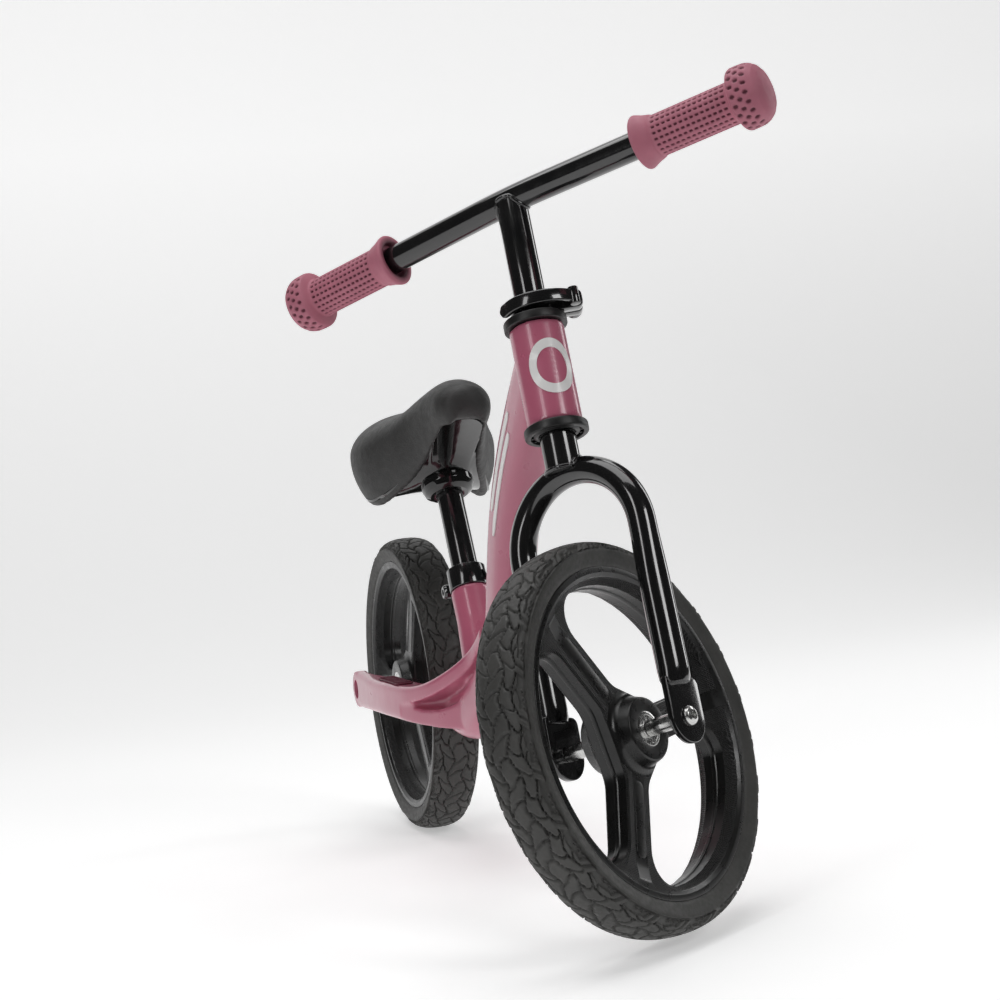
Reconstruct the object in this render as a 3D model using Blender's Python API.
"""A child's balance bike, built from its separate pieces.

Axes: X forward, Y to the rider's left, Z up. The origin is the centre of the rear axle.
The fork, the front wheel and the handlebar are drawn straight ahead and hang on empties
that hold the turned steering, so that every steered piece has its joint axis as its parent.
"""

import math

import bmesh
import bpy
from mathutils import Matrix, Vector

# Driving dimensions, in metres and degrees.
WHEELBASE = 0.585
HEAD_ANGLE = math.radians(71.4)      # steering axis, from the ground
AXLE_SET_BACK = 0.0092               # front axle, behind the steering axis
STEER_REST = math.radians(-54.0)     # the fork at rest is turned to the rider's right
BAR_TWIST = math.radians(5.3)        # the bar is clamped this far off square to the wheel
GAP = 0.0003                         # between touching pieces
WHEEL_SIDES = 36                     # facets round the round pieces, largest to smallest
HEAD_SIDES = 24
TUBE_SIDES = 18
SMALL_SIDES = 12

TYRE_RADIUS = 0.146
TYRE_HALF_WIDTH = 0.0224
TYRE_SEAT_RADIUS = 0.1242            # where the tyre's side ring meets the rim's lip
RIM_HALF_WIDTH = 0.0190
SPOKE_HALF_THICKNESS = 0.0105
SPOKE_HALF_WIDTH = 0.0128
OPENING_OUTER_RADIUS = 0.1125
FIRST_SPOKE_ANGLE = math.radians(63.0)
HUB_RADIUS = 0.0235
HUB_HALF_WIDTH = 0.0225
BEARING_RADIUS = 0.0130
BEARING_WIDTH = 0.0080
AXLE_RADIUS = 0.0040
SPACER_RADIUS = 0.0060

TAB_INNER_Y = 0.0530                 # inner face of a dropout tab, fork and frame alike
TAB_THICKNESS = 0.0050
LEG_Y = 0.0562
LEG_RADIUS = 0.0126
CROWN_RADIUS = 0.0106                # the bent tube is slimmer over the crown
LEG_SET_BACK = 0.0040                # the bent tube's plane, behind the steering axis
LEG_END = 0.0230
CROWN_HEIGHT = 0.1474                # centre of the crown's bend, along the steering axis
STEERER_RADIUS = 0.0140
STEERER_TOP = 0.3460
STEERER_BORE = 0.0130
STEERER_BORE_BOTTOM = 0.2205

HEAD_BOTTOM = 0.2412                 # the head tube's ends, along the steering axis
HEAD_TOP = 0.3222
HEAD_RADIUS = 0.0215
HEAD_BORE = 0.0172

BAR_HEIGHT = 0.4340                  # handlebar centre, along the steering axis
BAR_RADIUS = 0.0111
BAR_HALF_LENGTH = 0.2150
BAR_SWEEP = math.radians(1.6)
BAR_DROP = math.radians(1.1)
STEM_RADIUS = 0.0125
STEM_BOTTOM = 0.2620
GRIP_INNER = 0.1190                  # along the half bar
GRIP_OUTER = 0.2290
GRIP_RADIUS = 0.0163
CUP_RADIUS = 0.0248                  # both headset cups, outside
CUP_BAND = 0.0075                    # height of a cup's visible band

CLAMP_WALL = 0.0032                  # both quick-release clamps
CLAMP_EAR_HALF = 0.0095
CAM_REACH = 0.0045                   # cam's axis, outside the ear's face
CAM_RADIUS = 0.0042
SKEWER_RADIUS = 0.0025
SKEWER_REACH = 0.0165                # from the middle of the ears to the nut's outer face
SKEWER_HOLE = 0.0029
LEVER_SWING = math.radians(150.0)
STEM_CLAMP_TURN = math.radians(-51.6)    # its ears point back and to the left of the fork
STEM_EAR_REACH = 0.0150              # skewer's axis, beyond the collar's outside
SEAT_EAR_REACH = 0.0080
STEM_CLAMP_BOTTOM = 0.3303
STEM_CLAMP_TOP = 0.3468
SEAT_CLAMP_BOTTOM = 0.1100
SEAT_CLAMP_TOP = 0.1300

STAY_TOP = 0.0150                    # the flat part of each stay, where a foot rests
PAD_X = 0.1220                       # middle of each footrest pad
PAD_Y = 0.0520
DROPOUT_RADIUS = 0.0180
DROPOUT_OUTER_Y = 0.0650

SEAT_ANGLE = math.radians(65.0)
SEAT_FOOT = Vector((0.2726, 0.0, 0.0))   # the seat tube's axis meets the axle's level here
SEAT_TUBE_TOP = 0.1290               # heights along the seat tube's axis
SEAT_TUBE_RADIUS = 0.0143            # inside the clamp
SEAT_TUBE_BODY = 0.0174              # just below the clamp
POST_RADIUS = 0.0120
POST_BORE = 0.0124
POST_BORE_FLOOR = 0.0320
POST_BOTTOM = 0.0850
POST_TOP = 0.2400

# Directions and centres that follow from them.
STEER_UP = Vector((-math.cos(HEAD_ANGLE), 0.0, math.sin(HEAD_ANGLE)))
STEER_FORWARD = Vector((math.sin(HEAD_ANGLE), 0.0, math.cos(HEAD_ANGLE)))
FRONT_AXLE = Vector((WHEELBASE, 0.0, 0.0))
STEER_FOOT = FRONT_AXLE + AXLE_SET_BACK * STEER_FORWARD
SEAT_UP = Vector((-math.cos(SEAT_ANGLE), 0.0, math.sin(SEAT_ANGLE)))
SEAT_FORWARD = Vector((math.sin(SEAT_ANGLE), 0.0, math.cos(SEAT_ANGLE)))
LEFT = Vector((0.0, 1.0, 0.0))


# ---------------------------------------------------------------- materials

def material(name, colour, roughness, metallic=0.0):
    made = bpy.data.materials.get(name)
    if made is None:
        made = bpy.data.materials.new(name)
        made.use_nodes = True
        shader = made.node_tree.nodes["Principled BSDF"]
        shader.inputs["Base Color"].default_value = (*colour, 1.0)
        shader.inputs["Roughness"].default_value = roughness
        shader.inputs["Metallic"].default_value = metallic
    return made


def pink_paint():
    return material("pink_paint", (0.50, 0.12, 0.19), 0.30)


def black_paint():
    return material("black_paint", (0.006, 0.006, 0.007), 0.18)


def black_plastic():
    return material("black_plastic", (0.010, 0.010, 0.011), 0.40)


def tyre_foam():
    return material("tyre_foam", (0.016, 0.016, 0.017), 0.75)


def bright_steel():
    return material("bright_steel", (0.62, 0.62, 0.60), 0.22, 1.0)


def pink_rubber():
    return material("pink_rubber", (0.47, 0.13, 0.19), 0.62)


def seat_foam():
    return material("seat_foam", (0.020, 0.020, 0.021), 0.60)


def grip_rubber():
    return material("grip_rubber", (0.020, 0.020, 0.021), 0.80)


# ---------------------------------------------------------------- making meshes

def frame_matrix(origin, x_axis, y_axis, z_axis):
    """The matrix that puts local axes x, y, z along the three given directions."""
    turned_axes = Matrix((x_axis, y_axis, z_axis)).transposed().to_4x4()
    return Matrix.Translation(origin) @ turned_axes


def steering_place():
    """Local z runs up the steering axis, local x forward."""
    return frame_matrix(STEER_FOOT, STEER_FORWARD, LEFT, STEER_UP)


def seat_tube_place():
    return frame_matrix(SEAT_FOOT, SEAT_FORWARD, LEFT, SEAT_UP)


def add_object(name, bm, paint, smooth_angle=35.0):
    """Turns a bmesh into a named object with faces out and round parts shaded smooth."""
    bmesh.ops.remove_doubles(bm, verts=bm.verts, dist=1e-6)
    bmesh.ops.recalc_face_normals(bm, faces=bm.faces)
    mesh = bpy.data.meshes.new(name)
    bm.to_mesh(mesh)
    bm.free()
    mesh.materials.append(paint)
    mesh.shade_smooth()
    mesh.set_sharp_from_angle(angle=math.radians(smooth_angle))
    made = bpy.data.objects.new(name, mesh)
    bpy.context.scene.collection.objects.link(made)
    return made


def turned(profile, segments, place=None):
    """Spins a closed (radius, height) outline about the local z axis. Returns a bmesh."""
    bm = bmesh.new()
    points = [bm.verts.new((radius, 0.0, height)) for radius, height in profile]
    count = len(points)
    edges = []
    for i in range(count):
        a, b = points[i], points[(i + 1) % count]
        if a.co.x > 1e-9 or b.co.x > 1e-9:
            edges.append(bm.edges.new((a, b)))
    bmesh.ops.spin(bm, geom=points + edges, cent=(0, 0, 0), axis=(0, 0, 1),
                   angle=2 * math.pi, steps=segments, use_merge=True)
    bmesh.ops.remove_doubles(bm, verts=bm.verts, dist=1e-6)
    bmesh.ops.dissolve_degenerate(bm, edges=bm.edges, dist=1e-7)
    if place is not None:
        bmesh.ops.transform(bm, matrix=place, verts=bm.verts)
    return bm


def rod_profile(radius, low, high, chamfer=0.0005):
    return [(0.0, low), (radius - chamfer, low), (radius, low + chamfer),
            (radius, high - chamfer), (radius - chamfer, high), (0.0, high)]


def round_cutter(radius, low, high, sides, place):
    """A drill. It is turned by part of a facet, so its corners miss the edges of what it cuts."""
    part_facet = Matrix.Rotation(0.37 * 2 * math.pi / sides, 4, "Z")
    return turned(rod_profile(radius, low, high, 0.0), sides, place @ part_facet)


def ring_profile(inner, outer, low, high, chamfer=0.0005):
    return [(inner, low), (outer - chamfer, low), (outer, low + chamfer),
            (outer, high - chamfer), (outer - chamfer, high), (inner, high)]


def direction(angle):
    return Vector((math.cos(angle), math.sin(angle)))


def rounded_outline(corners, steps=4):
    """Rounds the corners of a 2-D outline. Each corner is (x, y, radius)."""
    outline = []
    count = len(corners)
    for i, (x, y, radius) in enumerate(corners):
        here = Vector((x, y))
        back = (Vector(corners[i - 1][:2]) - here).normalized()
        ahead = (Vector(corners[(i + 1) % count][:2]) - here).normalized()
        if radius <= 0:
            outline.append(here)
            continue
        half = math.acos(max(-1.0, min(1.0, back.dot(ahead)))) / 2
        reach = radius / math.tan(half)
        start, end = here + back * reach, here + ahead * reach
        centre = here + (back + ahead).normalized() * (radius / math.sin(half))
        first = math.atan2(start.y - centre.y, start.x - centre.x)
        last = math.atan2(end.y - centre.y, end.x - centre.x)
        sweep = (last - first + math.pi) % (2 * math.pi) - math.pi
        for step in range(steps + 1):
            angle = first + sweep * step / steps
            outline.append(centre + radius * Vector((math.cos(angle), math.sin(angle))))
    return outline


def prism(outline, low, high, place=None):
    """Extrudes a 2-D outline in local x and y from height low to height high."""
    bm = bmesh.new()
    face = bm.faces.new([bm.verts.new((p[0], p[1], low)) for p in outline])
    swept = bmesh.ops.extrude_face_region(bm, geom=[face])
    top = [v for v in swept["geom"] if isinstance(v, bmesh.types.BMVert)]
    bmesh.ops.translate(bm, vec=(0, 0, high - low), verts=top)
    bmesh.ops.recalc_face_normals(bm, faces=bm.faces)
    if place is not None:
        bmesh.ops.transform(bm, matrix=place, verts=bm.verts)
    return bm


def lofted(rings):
    """Skins a row of equal rings of points and closes both ends."""
    bm = bmesh.new()
    rows = [[bm.verts.new(point) for point in ring] for ring in rings]
    count = len(rows[0])
    for lower, upper in zip(rows, rows[1:]):
        for i in range(count):
            j = (i + 1) % count
            bm.faces.new((lower[i], lower[j], upper[j], upper[i]))
    bm.faces.new(list(reversed(rows[0])))
    bm.faces.new(rows[-1])
    bmesh.ops.recalc_face_normals(bm, faces=bm.faces)
    return bm


def swept_tube(path, radii, sides):
    """A round bar along a path that lies square to local x, with a radius at each point."""
    rings = []
    for i, (point, radius) in enumerate(zip(path, radii)):
        before, after = path[max(i - 1, 0)], path[min(i + 1, len(path) - 1)]
        along = (after - before).normalized()
        side = Vector((1.0, 0.0, 0.0))
        side = (side - along * side.dot(along)).normalized()
        other = along.cross(side)
        rings.append([point + radius * (math.cos(t) * side + math.sin(t) * other)
                      for t in (2 * math.pi * k / sides for k in range(sides))])
    return lofted(rings)


def catmull(points, steps):
    """A smooth row of tuples through the given tuples."""
    rows = []
    padded = [points[0]] + points + [points[-1]]
    for i in range(1, len(padded) - 2):
        p0, p1, p2, p3 = padded[i - 1:i + 3]
        for step in range(steps):
            t = step / steps
            rows.append(tuple(
                0.5 * (2 * b + (c - a) * t + (2 * a - 5 * b + 4 * c - d) * t * t
                       + (3 * b - a - 3 * c + d) * t ** 3)
                for a, b, c, d in zip(p0, p1, p2, p3)))
    rows.append(points[-1])
    return rows


def scratch(name, bm):
    """A cutter or a piece to be welded on: kept out of the finished model."""
    made = add_object(name, bm, black_plastic())
    made.hide_render = True
    made.display_type = "WIRE"
    return made


def combine(target, other, operation):
    step = target.modifiers.new(other.name, "BOOLEAN")
    step.operation = operation
    step.solver = "EXACT"
    step.object = other


def weld(target, name, bm):
    combine(target, scratch(name, bm), "UNION")


def cut(target, name, bm):
    combine(target, scratch(name, bm), "DIFFERENCE")


def hang(made, holder):
    """Parents an object, and what is welded to it or cut from it, to a joint's empty."""
    made.parent = holder
    made.matrix_parent_inverse = Matrix.Translation(-Vector(holder["drawn_at"]))
    for step in made.modifiers:
        if step.type == "BOOLEAN":
            hang(step.object, holder)


def joint_empty(name, drawn_at, holder=None, turn=None):
    """An empty on a joint's axis. Turn is the rotation that the joint has at rest."""
    made = bpy.data.objects.new(name, None)
    bpy.context.scene.collection.objects.link(made)
    made["drawn_at"] = tuple(drawn_at)
    made.rotation_mode = "QUATERNION"
    made.location = drawn_at
    if turn is not None:
        made.rotation_quaternion = turn.to_quaternion()
    if holder is not None:
        hang(made, holder)
    return made


# ---------------------------------------------------------------- wheels

def wheel_place(centre):
    """Local z runs along the axle to the rider's left, local x forward, local y down."""
    return frame_matrix(centre, Vector((1, 0, 0)), Vector((0, 0, -1)), LEFT)


def tyre_profile():
    """Half of the tyre's section is mirrored about its middle plane."""
    tread_base = 0.1345
    crown = TYRE_RADIUS - tread_base
    half = [(0.1200, 0.0), (0.1200, 0.0165), (TYRE_SEAT_RADIUS, 0.0169),
            (TYRE_SEAT_RADIUS, 0.0192), (0.1300, 0.0206)]
    for step in range(4):
        angle = math.radians(90 * (1 - step / 3.5))
        half.append((tread_base + crown * math.cos(angle) ** 0.83,
                     TYRE_HALF_WIDTH * math.sin(angle) ** 0.83))
    half.append((TYRE_RADIUS, 0.0))
    other = [(radius, -height) for radius, height in reversed(half[1:-1])]
    return half + other


def rim_profile():
    """The whole disc before its openings are cut: hub, spoke web and barrel."""
    half = [(0.0085, 0.0), (0.0085, HUB_HALF_WIDTH - BEARING_WIDTH - GAP),
            (BEARING_RADIUS + GAP, HUB_HALF_WIDTH - BEARING_WIDTH - GAP),
            (BEARING_RADIUS + GAP, HUB_HALF_WIDTH), (HUB_RADIUS, HUB_HALF_WIDTH),
            (0.0265, SPOKE_HALF_THICKNESS), (0.1080, SPOKE_HALF_THICKNESS), (0.1145, 0.0133),
            (0.1195, RIM_HALF_WIDTH), (TYRE_SEAT_RADIUS - GAP, RIM_HALF_WIDTH),
            (TYRE_SEAT_RADIUS - GAP, 0.0172), (0.1196, 0.0168), (0.1196, 0.0)]
    other = [(radius, -height) for radius, height in reversed(half[1:-1])]
    return half + other


def spoke_opening(angle):
    """The outline of the opening whose middle lies at angle, seen along the axle."""
    near = 0.0295
    corner_y = (near - SPOKE_HALF_WIDTH / math.sin(math.radians(60))) * math.tan(math.radians(60))
    half_angle = math.radians(60) - math.asin(SPOKE_HALF_WIDTH / OPENING_OUTER_RADIUS)
    corners = [(near, -corner_y, 0.024)]
    steps = 5
    for step in range(steps + 1):
        t = -half_angle + 2 * half_angle * step / steps
        radius = 0.013 if step in (0, steps) else 0.0
        corners.append((*(OPENING_OUTER_RADIUS * direction(t)), radius))
    corners.append((near, corner_y, 0.024))
    turn = Matrix.Rotation(angle, 2)
    return [turn @ point for point in rounded_outline(corners)]


def make_wheel(prefix, centre, holder, first_spoke):
    place = wheel_place(centre)
    tyre = add_object(prefix + "_tyre", turned(tyre_profile(), WHEEL_SIDES, place), tyre_foam())
    rim = add_object(prefix + "_rim", turned(rim_profile(), WHEEL_SIDES, place), black_plastic())
    for index in range(3):
        middle = -(first_spoke + math.radians(60 + 120 * index))
        opening = prism(spoke_opening(middle), -0.03, 0.03, place)
        cut(rim, f"{prefix}_opening_{index + 1}", opening)
    for side, word in ((1, "left"), (-1, "right")):
        face = side * HUB_HALF_WIDTH
        faces = sorted((face, face - side * BEARING_WIDTH))
        ring = ring_profile(AXLE_RADIUS + 0.0004, BEARING_RADIUS, *faces)
        bearing = add_object(f"{prefix}_bearing_{word}", turned(ring, TUBE_SIDES, place), bright_steel())
        hang(bearing, holder)
    hang(tyre, holder)
    hang(rim, holder)


def make_axle(prefix, centre, holder=None):
    """The axle rod, its two spacer tubes, and the bolt and washer on each side."""
    place = wheel_place(centre)
    end = TAB_INNER_Y - 0.0010
    pieces = [add_object(prefix + "_axle", turned(rod_profile(AXLE_RADIUS, -end, end), SMALL_SIDES, place),
                         bright_steel())]
    outer_face = TAB_INNER_Y + TAB_THICKNESS
    for side, word in ((1, "left"), (-1, "right")):
        spacer = sorted((side * (HUB_HALF_WIDTH + GAP), side * (TAB_INNER_Y - GAP)))
        pieces.append(add_object(
            f"{prefix}_spacer_{word}",
            turned(ring_profile(AXLE_RADIUS + GAP, SPACER_RADIUS, *spacer), SMALL_SIDES, place),
            bright_steel()))
        pieces.append(add_object(f"{prefix}_bolt_{word}", button_bolt(outer_face + GAP, side, place),
                                 bright_steel()))
    if holder is not None:
        for piece in pieces:
            hang(piece, holder)


def button_bolt(face, side, place):
    """A button-head bolt with a hexagon socket, its head resting on a tab's outer face."""
    head_radius, head_height, shank = 0.0072, 0.0044, 0.0056
    profile = [(0.0, -shank), (AXLE_RADIUS - GAP, -shank), (AXLE_RADIUS - GAP, 0.0),
               (head_radius, 0.0), (head_radius, 0.0010), (0.0064, 0.0028),
               (0.0046, 0.0040), (0.0030, head_height), (0.0030, 0.0022), (0.0, 0.0022)]
    flip = Matrix.Translation((0, 0, side * face))
    if side < 0:
        flip = flip @ Matrix.Rotation(math.pi, 4, "X")
    return turned(profile, SMALL_SIDES, place @ flip)


# ---------------------------------------------------------------- fork and handlebar

def make_fork(holder):
    place = steering_place()
    taper_bottom = CROWN_HEIGHT - 0.050
    path = [(-LEG_SET_BACK, -LEG_Y, LEG_END, LEG_RADIUS),
            (-LEG_SET_BACK, -LEG_Y, taper_bottom, LEG_RADIUS)]
    steps = 14
    for step in range(steps + 1):
        angle = math.pi - math.pi * step / steps
        path.append((-LEG_SET_BACK, LEG_Y * math.cos(angle),
                     CROWN_HEIGHT + LEG_Y * math.sin(angle), CROWN_RADIUS))
    path += [(-LEG_SET_BACK, LEG_Y, taper_bottom, LEG_RADIUS),
             (-LEG_SET_BACK, LEG_Y, LEG_END, LEG_RADIUS)]
    legs = swept_tube([Vector(point[:3]) for point in path], [point[3] for point in path], 16)
    bmesh.ops.transform(legs, matrix=place, verts=legs.verts)
    fork = add_object("fork", legs, black_paint())
    crown_top = CROWN_HEIGHT + LEG_Y + 0.0010
    steerer = rod_profile(STEERER_RADIUS, crown_top, STEERER_TOP)
    weld(fork, "steerer_tube", turned(steerer, TUBE_SIDES, place))
    tab_side = frame_matrix(STEER_FOOT, STEER_FORWARD, -STEER_UP, LEFT)
    half_width, top = 0.0195, 0.0290
    outline = rounded_outline([
        (-AXLE_SET_BACK + half_width, -top, 0.003), (-AXLE_SET_BACK + half_width, half_width, 0.0190),
        (-AXLE_SET_BACK - half_width, half_width, 0.0190), (-AXLE_SET_BACK - half_width, -top, 0.006)])
    for side, word in ((1, "left"), (-1, "right")):
        faces = sorted((side * TAB_INNER_Y, side * (TAB_INNER_Y + TAB_THICKNESS)))
        weld(fork, "fork_tab_" + word, prism(outline, *faces, tab_side))
    bolt_hole = round_cutter(AXLE_RADIUS + GAP, -0.08, 0.08, SMALL_SIDES, wheel_place(FRONT_AXLE))
    cut(fork, "fork_bolt_holes", bolt_hole)
    bore = round_cutter(STEERER_BORE, STEERER_BORE_BOTTOM, STEERER_TOP + 0.01, TUBE_SIDES, place)
    cut(fork, "steerer_bore", bore)
    hang(fork, holder)


def make_handlebar(holder):
    place = steering_place()
    middle = Vector((0, 0, BAR_HEIGHT))
    path = []
    ends = []
    for side in (-1, 1):
        out = Vector((-math.sin(BAR_SWEEP), side * math.cos(BAR_SWEEP), -math.sin(BAR_DROP)))
        ends.append(out.normalized())
    bend = 0.03
    path.append(middle + ends[0] * BAR_HALF_LENGTH)
    path.append(middle + ends[0] * bend)
    path.append(middle + (ends[0] + ends[1]) * bend * 0.5)
    path.append(middle + ends[1] * bend)
    path.append(middle + ends[1] * BAR_HALF_LENGTH)
    bar = swept_tube(path, [BAR_RADIUS] * len(path), 16)
    bmesh.ops.transform(bar, matrix=place, verts=bar.verts)
    handlebar = add_object("handlebar", bar, black_paint())
    stem = rod_profile(STEM_RADIUS, STEM_BOTTOM, BAR_HEIGHT)
    weld(handlebar, "stem_tube", turned(stem, TUBE_SIDES, place))
    hang(handlebar, holder)
    for side, word, out in ((1, "left", ends[1]), (-1, "right", ends[0])):
        across = Vector((1, 0, 0))
        across = (across - out * across.dot(out)).normalized()
        grip_place = place @ frame_matrix(middle, across, out.cross(across), out)
        grip = add_object("grip_" + word, turned(grip_profile(), TUBE_SIDES, grip_place), pink_rubber())
        hang(grip, holder)


def grip_profile():
    """Flared inner end, round body and domed bulb, with a blind hole for the bar."""
    hole, recess, ring = BAR_RADIUS + GAP, 0.0150, 0.0244
    return [(hole, GRIP_INNER + 0.0050), (recess, GRIP_INNER + 0.0050), (recess, GRIP_INNER),
            (0.0206, GRIP_INNER), (0.0218, GRIP_INNER + 0.0014), (0.0189, GRIP_INNER + 0.0085),
            (0.0174, GRIP_INNER + 0.0140), (GRIP_RADIUS, GRIP_INNER + 0.0145),
            (GRIP_RADIUS, GRIP_OUTER - 0.0285),
            (0.0200, GRIP_OUTER - 0.0272), (ring, GRIP_OUTER - 0.0250), (ring, GRIP_OUTER - 0.0160),
            (0.0222, GRIP_OUTER - 0.0080), (0.0160, GRIP_OUTER - 0.0024), (0.0080, GRIP_OUTER - 0.0004),
            (0.0, GRIP_OUTER), (0.0, BAR_HALF_LENGTH + 0.0010), (hole, BAR_HALF_LENGTH + 0.0010)]


# ---------------------------------------------------------------- clamps

def make_clamp(prefix, place, tube_radius, low, high, ear_reach, lever_side, tip_angle,
               holder, lever_holder):
    """A split collar with two ears behind it, a skewer, a nut and a cam lever."""
    inner = tube_radius + GAP
    outer = inner + CLAMP_WALL
    ear_x, ear_half, slot = -(outer + ear_reach), CLAMP_EAR_HALF, 0.0022
    collar = add_object(prefix + "_collar", turned(rod_profile(outer, low, high, 0.001), TUBE_SIDES, place),
                        black_paint())
    middle = (low + high) / 2
    across = place @ Matrix.Translation((0, 0, middle)) @ frame_matrix(
        Vector(), Vector((1, 0, 0)), Vector((0, 0, -1)), LEFT)
    ear_half_height = (high - low) / 2 - 0.0010
    ear_root = -inner * 0.75
    ear = rounded_outline([(ear_x - 0.0065, -ear_half_height, 0.004), (ear_root, -ear_half_height, 0),
                           (ear_root, ear_half_height, 0), (ear_x - 0.0065, ear_half_height, 0.004)])
    weld(collar, prefix + "_ears", prism(ear, -ear_half, ear_half, across))
    cut(collar, prefix + "_bore", round_cutter(inner, low - 0.01, high + 0.01, TUBE_SIDES, place))
    slot_far, slot_near, slot_tall = ear_x - 0.02, -inner + 0.004, 0.02
    slot_box = [(slot_far, -slot_tall), (slot_near, -slot_tall), (slot_near, slot_tall), (slot_far, slot_tall)]
    cut(collar, prefix + "_slot", prism(slot_box, -slot / 2, slot / 2, across))
    skewer_place = across @ Matrix.Translation((ear_x, 0, 0))
    cut(collar, prefix + "_skewer_hole", round_cutter(SKEWER_HOLE, -0.03, 0.03, SMALL_SIDES, skewer_place))
    skewer_ends = sorted((lever_side * (ear_half + CAM_REACH), -lever_side * SKEWER_REACH))
    skewer = turned(rod_profile(SKEWER_RADIUS, *skewer_ends, 0.0003), SMALL_SIDES, skewer_place)
    pieces = [collar, add_object(prefix + "_skewer", skewer, bright_steel())]
    nut_faces = sorted((-lever_side * (ear_half + GAP), -lever_side * (ear_half + 0.0085)))
    nut = turned(ring_profile(SKEWER_RADIUS + GAP, 0.0068, *nut_faces, 0.0008), SMALL_SIDES, skewer_place)
    pieces.append(add_object(prefix + "_nut", nut, black_paint()))
    for piece in pieces:
        if holder is not None:
            hang(piece, holder)
    lever = make_lever(prefix, place, ear_x, lever_side, tip_angle, outer, middle)
    hang(lever, lever_holder)


def lever_pivot(place, tube_radius, low, high, ear_reach, lever_side):
    """The point on the cam's own axis, which runs along the clamped tube."""
    back = tube_radius + GAP + CLAMP_WALL + ear_reach
    return place @ Vector((-back, lever_side * (CLAMP_EAR_HALF + CAM_REACH), (low + high) / 2))


def make_lever(prefix, place, ear_x, side, tip_angle, outer, middle):
    """A cam barrel with a curved handle that lies around the collar."""
    centre_y = side * (CLAMP_EAR_HALF + CAM_REACH)
    barrel_place = place @ Matrix.Translation((ear_x, centre_y, middle))
    barrel = turned(rod_profile(CAM_RADIUS, -0.0070, 0.0070, 0.0006), SMALL_SIDES, barrel_place)
    lever = add_object(prefix + "_lever", barrel, black_paint())
    hug, half_band = outer + 0.0042, 0.0019
    pivot_reach = math.hypot(ear_x, centre_y)
    start, end = math.atan2(abs(centre_y), ear_x), tip_angle
    steps = 14
    near_edge, far_edge = [], []
    for step in range(steps + 1):
        t = step / steps
        angle = start + (end - start) * t
        reach = hug + (pivot_reach - hug) * (1 - t) ** 3
        for edge, offset in ((near_edge, -half_band), (far_edge, half_band)):
            edge.append(((reach + offset) * math.cos(angle), side * (reach + offset) * math.sin(angle)))
    band = near_edge + list(reversed(far_edge))
    handle = prism(band, -0.0048, 0.0048, place @ Matrix.Translation((0, 0, middle)))
    weld(lever, prefix + "_handle", handle)
    slot = prism(cam_slot(side), -SKEWER_HOLE, SKEWER_HOLE, barrel_place)
    cut(lever, prefix + "_cam_slot", slot)
    return lever


def cam_slot(side):
    """The room that the skewer needs inside the cam while the lever swings open."""
    reach, steps = 0.0080, 10
    first = -math.pi / 2
    last = first - LEVER_SWING
    beside_first = SKEWER_HOLE * direction(first + math.pi / 2)
    beside_last = SKEWER_HOLE * direction(last - math.pi / 2)
    outline = [beside_first, beside_first + reach * direction(first)]
    outline += [reach * direction(first + (last - first) * step / steps) for step in range(steps + 1)]
    outline += [beside_last + reach * direction(last), beside_last]
    return [Vector((point.x, side * point.y)) for point in outline]


# ---------------------------------------------------------------- headset

def make_headset():
    place = steering_place()
    outer, inner = CUP_RADIUS, STEERER_RADIUS + 0.0006
    skirt, skirt_length, chamfer = HEAD_BORE - GAP, 0.0100, 0.0010
    pocket, pocket_floor, ring_outer = 0.0205, 0.0012, 0.0202
    for word, end, way in (("lower", HEAD_BOTTOM, -1), ("upper", HEAD_TOP, 1)):
        cup = [(inner, -skirt_length), (skirt, -skirt_length), (skirt, GAP), (outer - chamfer, GAP),
               (outer, GAP + chamfer), (outer, CUP_BAND - chamfer), (outer - chamfer, CUP_BAND),
               (pocket, CUP_BAND), (pocket, pocket_floor), (inner, pocket_floor)]
        ring = [(inner, pocket_floor + GAP), (ring_outer, pocket_floor + GAP),
                (ring_outer, CUP_BAND - GAP), (inner, CUP_BAND - GAP)]
        for kind, outline, paint in (("cup", cup, black_plastic()), ("bearing", ring, bright_steel())):
            profile = [(radius, end + way * height) for radius, height in outline]
            add_object(f"headset_{kind}_{word}", turned(profile, TUBE_SIDES, place), paint)


# ---------------------------------------------------------------- frame

def superellipse(half_width, half_depth, power, count=20):
    points = []
    for k in range(count):
        t = 2 * math.pi * (k + 0.5) / count
        c, s = math.cos(t), math.sin(t)
        points.append((half_width * math.copysign(abs(c) ** (2 / power), c),
                       half_depth * math.copysign(abs(s) ** (2 / power), s)))
    return points


def make_beam():
    """The single deep beam from the head tube to the low point under the seat tube."""
    stations = [  # x, z, half depth across the run, half width
        (0.505, 0.2830, 0.0270, 0.0180), (0.472, 0.2550, 0.0255, 0.0185), (0.423, 0.2090, 0.0240, 0.0188),
        (0.383, 0.1580, 0.0230, 0.0188), (0.359, 0.1090, 0.0225, 0.0188), (0.338, 0.0620, 0.0225, 0.0195),
        (0.303, 0.0200, 0.0235, 0.0230), (0.258, -0.0060, 0.0250, 0.0285), (0.214, -0.0080, 0.0190, 0.0320)]
    rows = catmull(stations, 2)
    rings = []
    for i, (x, z, depth, width) in enumerate(rows):
        before, after = rows[max(i - 1, 0)], rows[min(i + 1, len(rows) - 1)]
        along = Vector((after[0] - before[0], 0, after[1] - before[1])).normalized()
        across = along.cross(LEFT)
        rings.append([Vector((x, 0, z)) + LEFT * u + across * v
                      for u, v in superellipse(width, depth, 3.4)])
    return lofted(rings)


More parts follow.
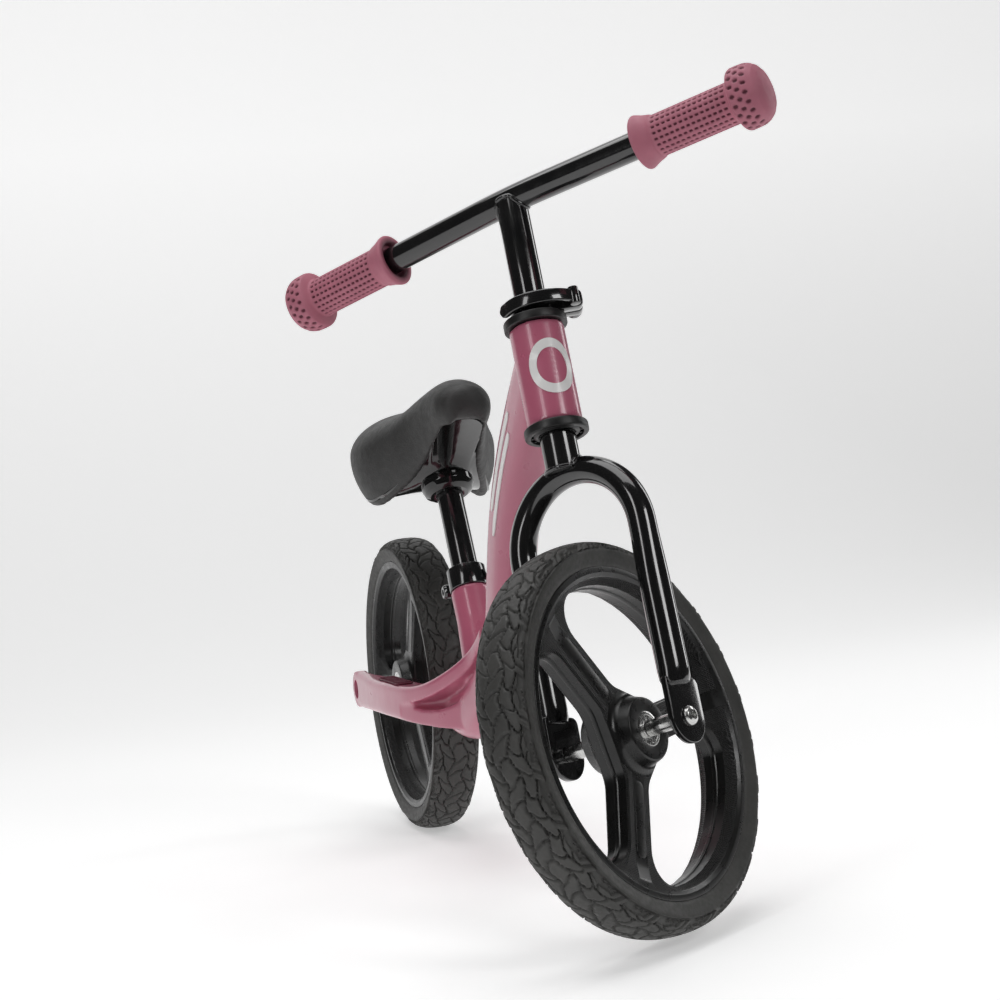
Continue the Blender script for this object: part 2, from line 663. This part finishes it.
def make_stay(side):
    """One arm from the low point around the rear tyre to the rear dropout."""
    stations = [  # x, inner y, outer y, top z, bottom z
        (0.318, 0.0030, 0.0200, 0.0730, 0.0300), (0.300, 0.0030, 0.0210, 0.0610, 0.0050),
        (0.282, 0.0030, 0.0240, 0.0500, -0.0150), (0.262, 0.0080, 0.0340, 0.0370, -0.0200),
        (0.232, 0.0190, 0.0470, 0.0240, -0.0200), (0.202, 0.0280, 0.0560, 0.0170, -0.0185),
        (0.172, 0.0340, 0.0620, STAY_TOP, -0.0170), (0.120, 0.0380, 0.0665, STAY_TOP, -0.0160),
        (0.070, 0.0430, 0.0670, STAY_TOP, -0.0165), (0.030, TAB_INNER_Y, 0.0660, 0.0170, -0.0175),
        (0.000, TAB_INNER_Y, DROPOUT_OUTER_Y, 0.0180, -0.0180)]
    rings = []
    for x, inner, outer, top, bottom in stations:
        corners = [(inner, bottom, 0.003), (outer, bottom, 0.004), (outer, top, 0.002), (inner, top, 0.002)]
        rings.append([Vector((x, side * p.x, p.y)) for p in rounded_outline(corners, 2)])
    return lofted(rings)


def make_frame():
    place = steering_place()
    frame = add_object("frame", make_beam(), pink_paint())
    head = rod_profile(HEAD_RADIUS, HEAD_BOTTOM, HEAD_TOP, 0.0008)
    weld(frame, "head_tube", turned(head, HEAD_SIDES, place))
    base, seat_place = 0.010, seat_tube_place()
    shoulder = SEAT_CLAMP_BOTTOM - 0.0005
    tube = [(0.0, base), (0.0220, base), (0.0195, 0.045), (SEAT_TUBE_BODY, 0.080),
            (SEAT_TUBE_BODY, shoulder), (SEAT_TUBE_RADIUS, shoulder),
            (SEAT_TUBE_RADIUS, SEAT_TUBE_TOP), (0.0, SEAT_TUBE_TOP)]
    weld(frame, "seat_tube", turned(tube, TUBE_SIDES, seat_place))
    for side, word in ((1, "left"), (-1, "right")):
        weld(frame, "stay_" + word, make_stay(side))
        boss = rod_profile(DROPOUT_RADIUS, TAB_INNER_Y, DROPOUT_OUTER_Y, 0.0010)
        boss_place = wheel_place(Vector()) if side > 0 else (
            wheel_place(Vector()) @ Matrix.Rotation(math.pi, 4, "X"))
        weld(frame, "dropout_" + word, turned(boss, TUBE_SIDES, boss_place))
        pocket = [(0.0, TAB_INNER_Y + TAB_THICKNESS), (0.0095, TAB_INNER_Y + TAB_THICKNESS),
                  (0.0095, 0.0700), (0.0, 0.0700)]
        cut(frame, "bolt_pocket_" + word, turned(pocket, SMALL_SIDES, boss_place))
    axle_hole = round_cutter(AXLE_RADIUS + GAP, -0.08, 0.08, SMALL_SIDES, wheel_place(Vector()))
    cut(frame, "axle_holes", axle_hole)
    head_bore = round_cutter(HEAD_BORE, HEAD_BOTTOM - 0.02, HEAD_TOP + 0.02, TUBE_SIDES, place)
    cut(frame, "head_bore", head_bore)
    post_bore = round_cutter(POST_BORE, POST_BORE_FLOOR, SEAT_TUBE_TOP + 0.02, TUBE_SIDES, seat_place)
    cut(frame, "post_bore", post_bore)


def make_footrest_pads():
    """A ribbed grip pad on the flat top of each stay."""
    length, width, ribs = 0.0780, 0.0170, 10
    base, rib_height = 0.0012, 0.0010
    outline = [(-length / 2, 0.0)]
    pitch = length / ribs
    for k in range(ribs):
        start = -length / 2 + k * pitch
        outline += [(start + pitch * 0.15, base), (start + pitch * 0.3, base + rib_height),
                    (start + pitch * 0.7, base + rib_height), (start + pitch * 0.85, base)]
    outline.append((length / 2, 0.0))
    for side, word in ((1, "left"), (-1, "right")):
        middle = Vector((PAD_X, side * PAD_Y, STAY_TOP + GAP))
        place = frame_matrix(middle, Vector((1, 0, 0)), Vector((0, 0, 1)), -LEFT)
        pad = prism(outline, -width / 2, width / 2, place)
        add_object("footrest_pad_" + word, pad, grip_rubber())


# ---------------------------------------------------------------- seat

def arch(x, half_width, top, middle, bottom, wall):
    """An inverted-U section of the seat at x: widest at height middle, curling in below."""
    reach = math.radians(35.0)
    steps = 10

    def edge(shrink, drop):
        points = []
        for step in range(steps + 1):
            t = -reach + (math.pi + 2 * reach) * step / steps
            width = max(half_width - shrink, 0.002)
            height = (top - shrink - middle) if math.sin(t) > 0 else (middle - bottom) / math.sin(reach)
            points.append(Vector((x, width * math.cos(t), middle + height * math.sin(t) + drop)))
        return points

    return edge(0.0, 0.0) + list(reversed(edge(wall, 0.0015)))


SEAT_STATIONS = [  # x, half width, top, widest level, bottom
    (0.036, 0.036, 0.2570, 0.2370, 0.2170), (0.050, 0.055, 0.2650, 0.2320, 0.2000),
    (0.080, 0.067, 0.2690, 0.2280, 0.1890), (0.120, 0.066, 0.2680, 0.2290, 0.1840),
    (0.165, 0.050, 0.2730, 0.2390, 0.1990), (0.200, 0.0365, 0.2830, 0.2520, 0.2170),
    (0.235, 0.0285, 0.2885, 0.2620, 0.2370), (0.262, 0.0245, 0.2850, 0.2640, 0.2480),
    (0.278, 0.0160, 0.2750, 0.2630, 0.2540)]


def make_seat_boss(seat_place):
    """The socket for the post: round at its foot, and blended into the shell's roof."""
    foot, foot_radius, roof_x, roof_z, roof_radius, count = 0.2218, 0.0200, 0.1650, 0.2570, 0.0180, 16
    rings = []
    for t in (0.0, 0.35, 0.7, 1.0):
        ring = []
        for k in range(count):
            c, s = math.cos(2 * math.pi * k / count), math.sin(2 * math.pi * k / count)
            low = seat_place @ Vector((foot_radius * c, foot_radius * s, foot))
            high = Vector((roof_x + roof_radius * c, roof_radius * s, roof_z + 0.1 * roof_radius * c))
            ring.append(low.lerp(high, t))
        rings.append(ring)
    return lofted(rings)


def make_seat(holder):
    rows = catmull(SEAT_STATIONS, 2)
    pad = lofted([arch(*row, 0.0120) for row in rows])
    hang(add_object("seat_pad", pad, seat_foam()), holder)
    shell_rings = []
    for x, width, top, middle, bottom in rows[2:-2]:
        inside = 0.0120 + GAP * 2
        shell_rings.append(arch(x, width - inside, top - inside, middle, bottom + 0.006, 0.0030))
    shell = add_object("seat_shell", lofted(shell_rings), black_paint())
    seat_place = seat_tube_place()
    weld(shell, "seat_boss", make_seat_boss(seat_place))
    cut(shell, "seat_boss_bore", round_cutter(POST_BORE, 0.19, POST_TOP + GAP, TUBE_SIDES, seat_place))
    hang(shell, holder)
    collar = [(POST_BORE, 0.2050), (0.0175, 0.2050), (0.0220, 0.2078), (0.0242, 0.2130),
              (0.0242, 0.2185), (0.0230, 0.2214), (POST_BORE, 0.2214)]
    hang(add_object("seat_collar", turned(collar, TUBE_SIDES, seat_place), black_plastic()), holder)
    post = [(0.0105, POST_BOTTOM), (POST_RADIUS, POST_BOTTOM), (POST_RADIUS, POST_TOP), (0.0105, POST_TOP)]
    hang(add_object("seatpost", turned(post, TUBE_SIDES, seat_place), black_paint()), holder)


# ---------------------------------------------------------------- assembly

def clear_scene():
    for old in list(bpy.data.objects):
        bpy.data.objects.remove(old, do_unlink=True)


def build():
    clear_scene()
    steering = joint_empty("steering_axis", STEER_FOOT, None, Matrix.Rotation(STEER_REST, 4, STEER_UP))
    bar = joint_empty("bar_height_axis", STEER_FOOT, steering, Matrix.Rotation(BAR_TWIST, 4, STEER_UP))
    front = joint_empty("front_wheel_axis", FRONT_AXLE, steering)
    rear = joint_empty("rear_wheel_axis", Vector())
    seat = joint_empty("seat_height_axis", SEAT_FOOT)

    make_frame()
    make_footrest_pads()
    make_headset()
    make_fork(steering)
    make_wheel("front", FRONT_AXLE, front, FIRST_SPOKE_ANGLE)
    make_axle("front", FRONT_AXLE, steering)
    make_wheel("rear", Vector(), rear, FIRST_SPOKE_ANGLE)
    make_axle("rear", Vector())
    make_handlebar(bar)
    make_seat(seat)

    clamp_place = steering_place() @ Matrix.Rotation(STEM_CLAMP_TURN, 4, "Z")
    stem_clamp = (clamp_place, STEERER_RADIUS, STEM_CLAMP_BOTTOM, STEM_CLAMP_TOP, STEM_EAR_REACH, 1)
    stem_lever = joint_empty("stem_lever_axis", lever_pivot(*stem_clamp), steering)
    make_clamp("stem_clamp", *stem_clamp, math.radians(10.0), steering, stem_lever)
    seat_clamp = (seat_tube_place(), SEAT_TUBE_RADIUS, SEAT_CLAMP_BOTTOM, SEAT_CLAMP_TOP, SEAT_EAR_REACH, 1)
    seat_lever = joint_empty("seat_lever_axis", lever_pivot(*seat_clamp))
    make_clamp("seat_clamp", *seat_clamp, math.radians(46.0), None, seat_lever)


build()
